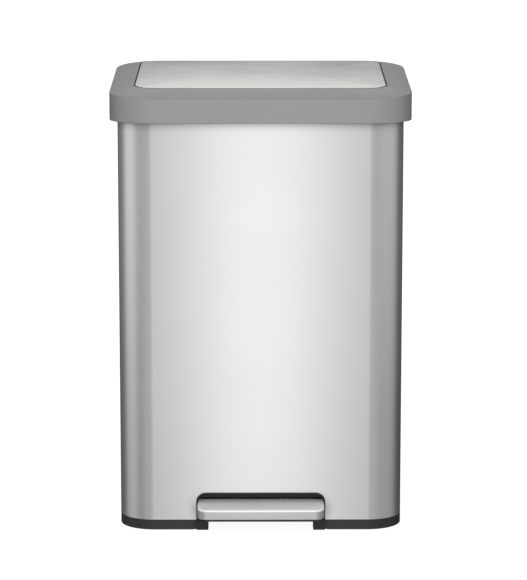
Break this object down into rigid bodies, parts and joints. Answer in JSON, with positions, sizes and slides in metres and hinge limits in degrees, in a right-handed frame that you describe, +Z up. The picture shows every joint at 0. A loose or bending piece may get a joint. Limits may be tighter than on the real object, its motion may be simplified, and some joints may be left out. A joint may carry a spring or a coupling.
{
  "type": "pedal trash can",
  "caption": "Rectangular step bin: steel body, hinged lid lifted by a front pedal through a lever and push rod, lift-out inner bucket, black base.",
  "frame": {"origin": "centre of the footprint of the whole bin, pedal included, on the floor", "axes": "+Z up, -Y towards the pedal and the user, +X to the user's right when facing the bin"},
  "size_m": [0.44, 0.3326, 0.671],
  "materials": {
    "brushed_steel": "fine horizontal brushed grain, satin, clear coated",
    "lid_plastic": "grey moulded plastic with a fine satin texture",
    "black_plastic": "black moulded plastic, fine texture",
    "bucket_plastic": "dark grey moulded plastic, satin",
    "zinc_steel": "bright zinc plated steel",
    "rubber": "soft matt rubber"
  },
  "bodies": {
    "body": {"axle_bracket_left": "black_plastic", "axle_bracket_right": "black_plastic", "axle_clip_left": "zinc_steel", "axle_clip_right": "zinc_steel", "base_tray": "black_plastic", "body_shell": "brushed_steel", "bracket_screw_left": "zinc_steel", "bracket_screw_right": "zinc_steel", "bucket": "bucket_plastic", "collar_ring": "black_plastic", "foot_front_left": "rubber", "foot_front_right": "rubber", "foot_rear_left": "rubber", "foot_rear_right": "rubber", "hinge_pin": "zinc_steel", "housing_screw_left": "zinc_steel", "housing_screw_mid_left": "zinc_steel", "housing_screw_mid_right": "zinc_steel", "housing_screw_right": "zinc_steel", "lever_axle": "zinc_steel", "pedal_bezel": "black_plastic", "rear_housing": "lid_plastic", "rod_guide_lower": "black_plastic", "rod_guide_upper": "black_plastic"},
    "lid": {"crank_roller": "black_plastic", "hinge_screw_left": "zinc_steel", "hinge_screw_middle": "zinc_steel", "hinge_screw_right": "zinc_steel", "lid_bumper_front_left": "rubber", "lid_bumper_front_right": "rubber", "lid_bumper_side_left": "rubber", "lid_bumper_side_right": "rubber", "lid_crank": "black_plastic", "lid_frame": "lid_plastic", "lid_hinge_bar": "lid_plastic", "lid_liner": "black_plastic", "lid_panel": "brushed_steel", "lid_screw_front_left": "zinc_steel", "lid_screw_front_right": "zinc_steel", "lid_screw_rear_left": "zinc_steel", "lid_screw_rear_right": "zinc_steel", "roller_pin": "zinc_steel"},
    "pedal": {"pedal_core": "black_plastic", "pedal_lever": "zinc_steel", "pedal_screw_left": "zinc_steel", "pedal_screw_right": "zinc_steel", "pedal_tread": "brushed_steel"},
    "rod": {"push_rod": "zinc_steel", "rod_foot": "black_plastic", "rod_head": "black_plastic"}
  },
  "joints": [
    {"name": "lid_hinge", "type": "hinge", "parent": "body", "child": "lid", "pos_m": [0, 0.15575, 0.64526], "axis": [-1, 0, 0], "range_deg": [0, 75]},
    {"name": "pedal_pivot", "type": "hinge", "parent": "body", "child": "pedal", "pos_m": [0, -0.06105, 0.035], "axis": [1, 0, 0], "range_deg": [0, 7.8]},
    {"name": "rod_slide", "type": "slide", "parent": "body", "child": "rod", "axis": [0, 0, 1], "range_m": [0, 0.02681]}
  ],
  "couplings": [
    {"joint": "pedal_pivot", "follows": "lid_hinge", "ratio": 0.10383},
    {"joint": "rod_slide", "follows": "lid_hinge", "m_per_rad": 0.020463}
  ]
}
